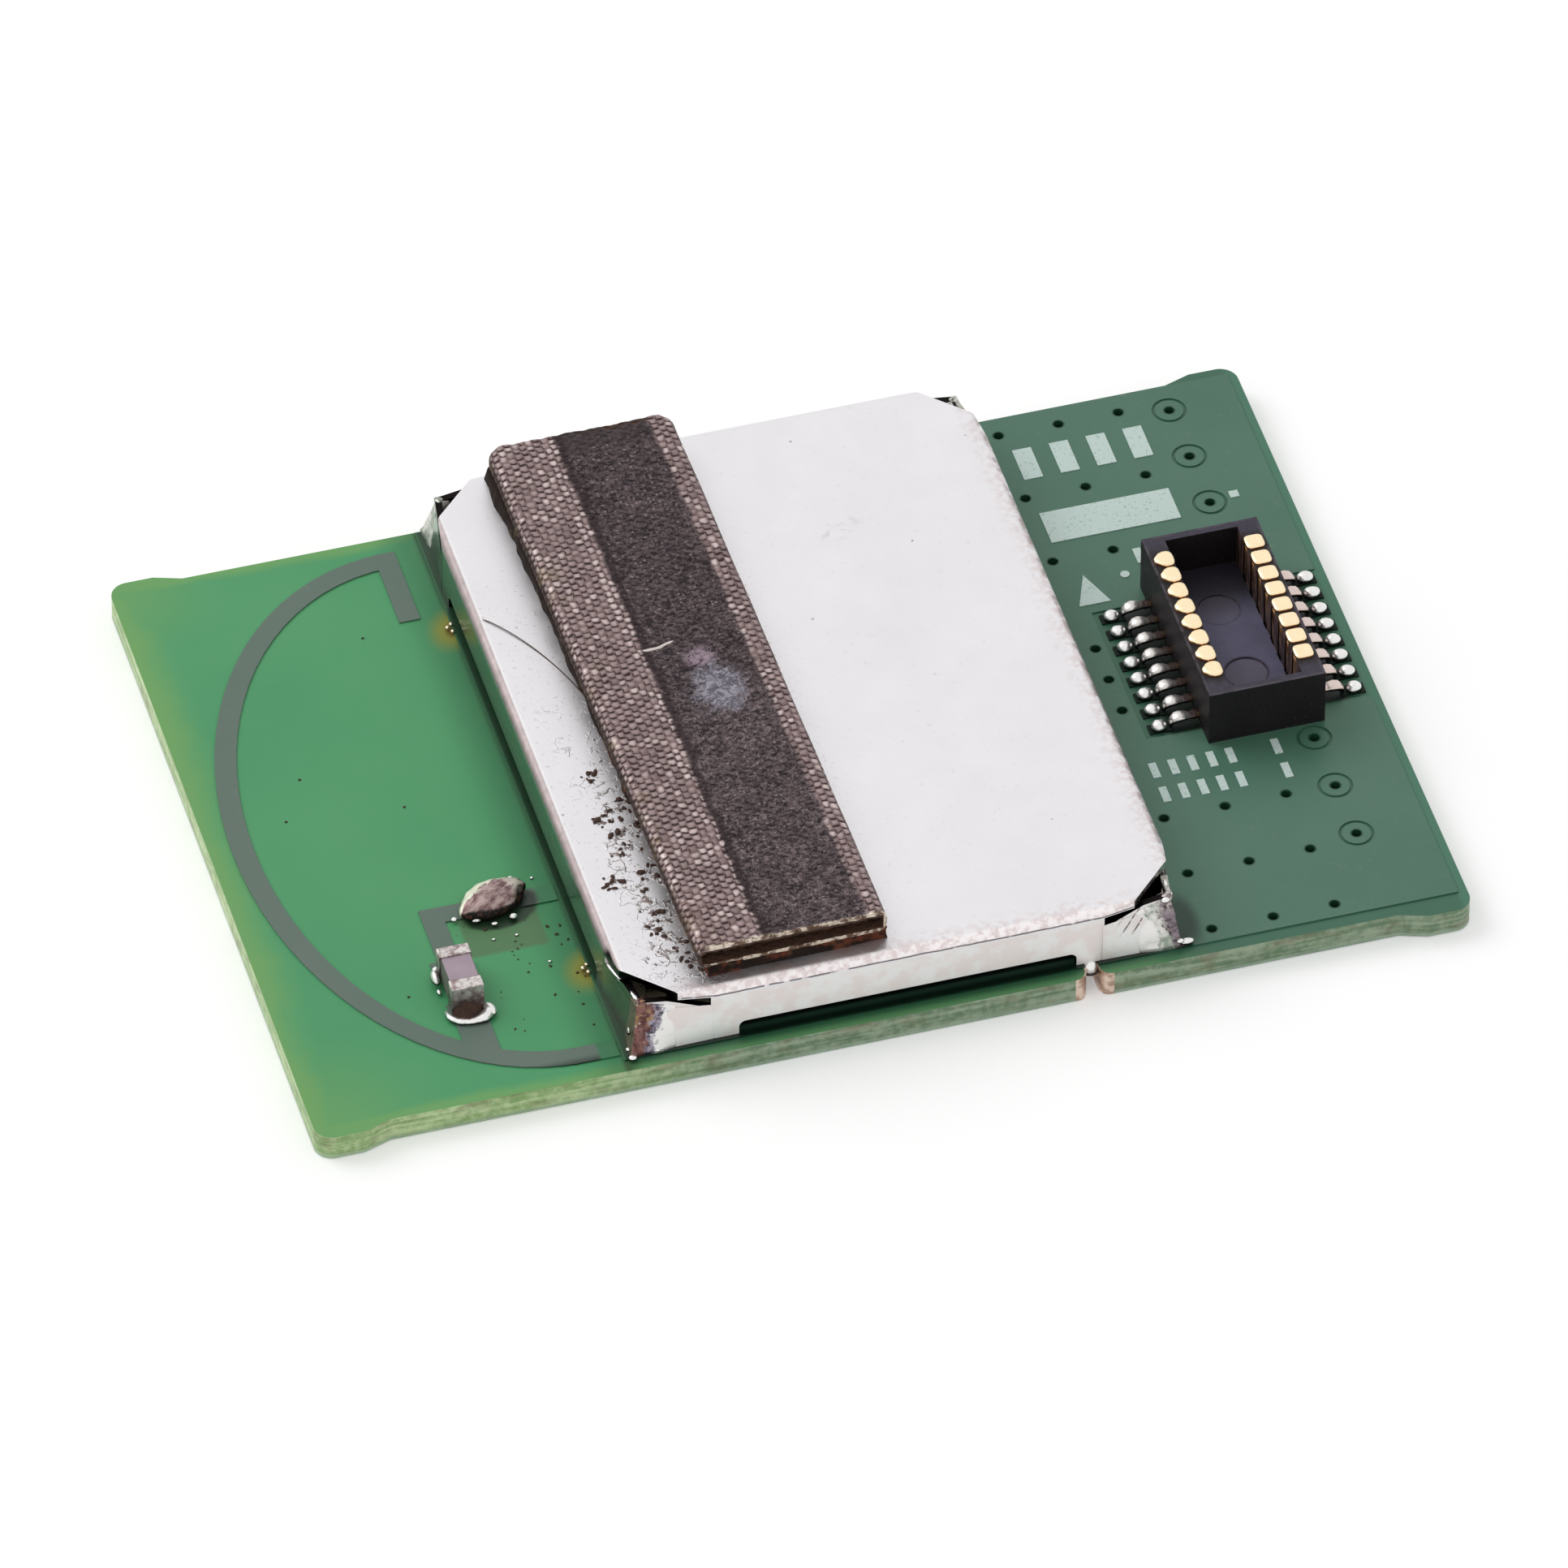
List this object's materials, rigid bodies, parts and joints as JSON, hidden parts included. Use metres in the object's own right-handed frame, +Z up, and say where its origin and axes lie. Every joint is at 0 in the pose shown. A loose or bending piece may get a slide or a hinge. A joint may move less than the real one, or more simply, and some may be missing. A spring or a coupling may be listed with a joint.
{
  "type": "wifi module",
  "caption": "Small radio board with a printed loop antenna, a folded shield can, a fabric-wrapped gasket on its lid and a board-to-board socket.",
  "frame": {"origin": "on the board's underside, under the middle of the board", "axes": "+X from the printed antenna towards the connector, +Y towards the board's back long edge (the front edge has the plated notch), +Z up out of the board's component side"},
  "size_m": [0.025, 0.0174, 0.0029],
  "materials": {
    "laminate": "glass-fibre board under green solder mask, satin gloss",
    "masked_copper": "copper under solder mask, grey-green, satin",
    "via_copper": "plated copper filled dark with solder mask",
    "gold_plate": "thin gold plate, worn brownish",
    "ink": "thin white print",
    "capacitor_ceramic": "mauve-grey sintered ceramic, matte",
    "tin": "tin plate, satin",
    "solder": "tin solder, glossy where it flowed, with brown flux",
    "can_sheet": "tin-plated steel sheet, matte silver",
    "adhesive": "dark acrylic tape, matte",
    "foam": "brown open foam, matte",
    "conductive_fabric": "brown-grey metallised weave, worn dark along the middle",
    "connector_plastic": "black moulded plastic, fine grain",
    "contact_gold": "gold-plated spring strip, polished",
    "chip_plastic": "black moulded package, matte",
    "crystal_ceramic": "cream ceramic, matte",
    "crystal_metal": "plated lid, satin",
    "filter_ceramic": "off-white ceramic, matte",
    "ferrite": "dark grey ferrite, matte",
    "small_capacitor_ceramic": "tan ceramic, satin",
    "resistor_coat": "black overglaze, glossy"
  },
  "bodies": {
    "root": {"circuit_board": "laminate", "ground_pour": "masked_copper", "antenna_trace": "masked_copper", "matching_trace": "masked_copper", "feed_trace": "masked_copper", "via_barrels": "via_copper", "notch_plating": "gold_plate", "printed_marks": "ink", "matching_capacitor": "capacitor_ceramic", "matching_capacitor_terminals": "tin", "matching_capacitor_solder": "solder", "bridge_solder": "solder", "shield_can": "can_sheet", "shield_solder": "solder", "gasket_adhesive": "adhesive", "gasket_foam": "foam", "gasket_fabric": "conductive_fabric", "connector_housing": "connector_plastic", "connector_contacts_inboard": "contact_gold", "connector_contacts_outboard": "contact_gold", "connector_pads": "gold_plate", "connector_solder": "solder", "radio_chip": "chip_plastic", "radio_chip_pads": "tin", "front_end_chip": "chip_plastic", "front_end_pads": "tin", "memory_chip": "chip_plastic", "memory_pads": "tin", "crystal_base": "crystal_ceramic", "crystal_lid": "crystal_metal", "band_filter": "filter_ceramic", "band_filter_terminals": "tin", "inductor_core": "ferrite", "inductor_terminals": "tin", "small_capacitors": "small_capacitor_ceramic", "small_capacitor_terminals": "tin", "resistors": "resistor_coat", "resistor_terminals": "tin"}
  },
  "joints": []
}
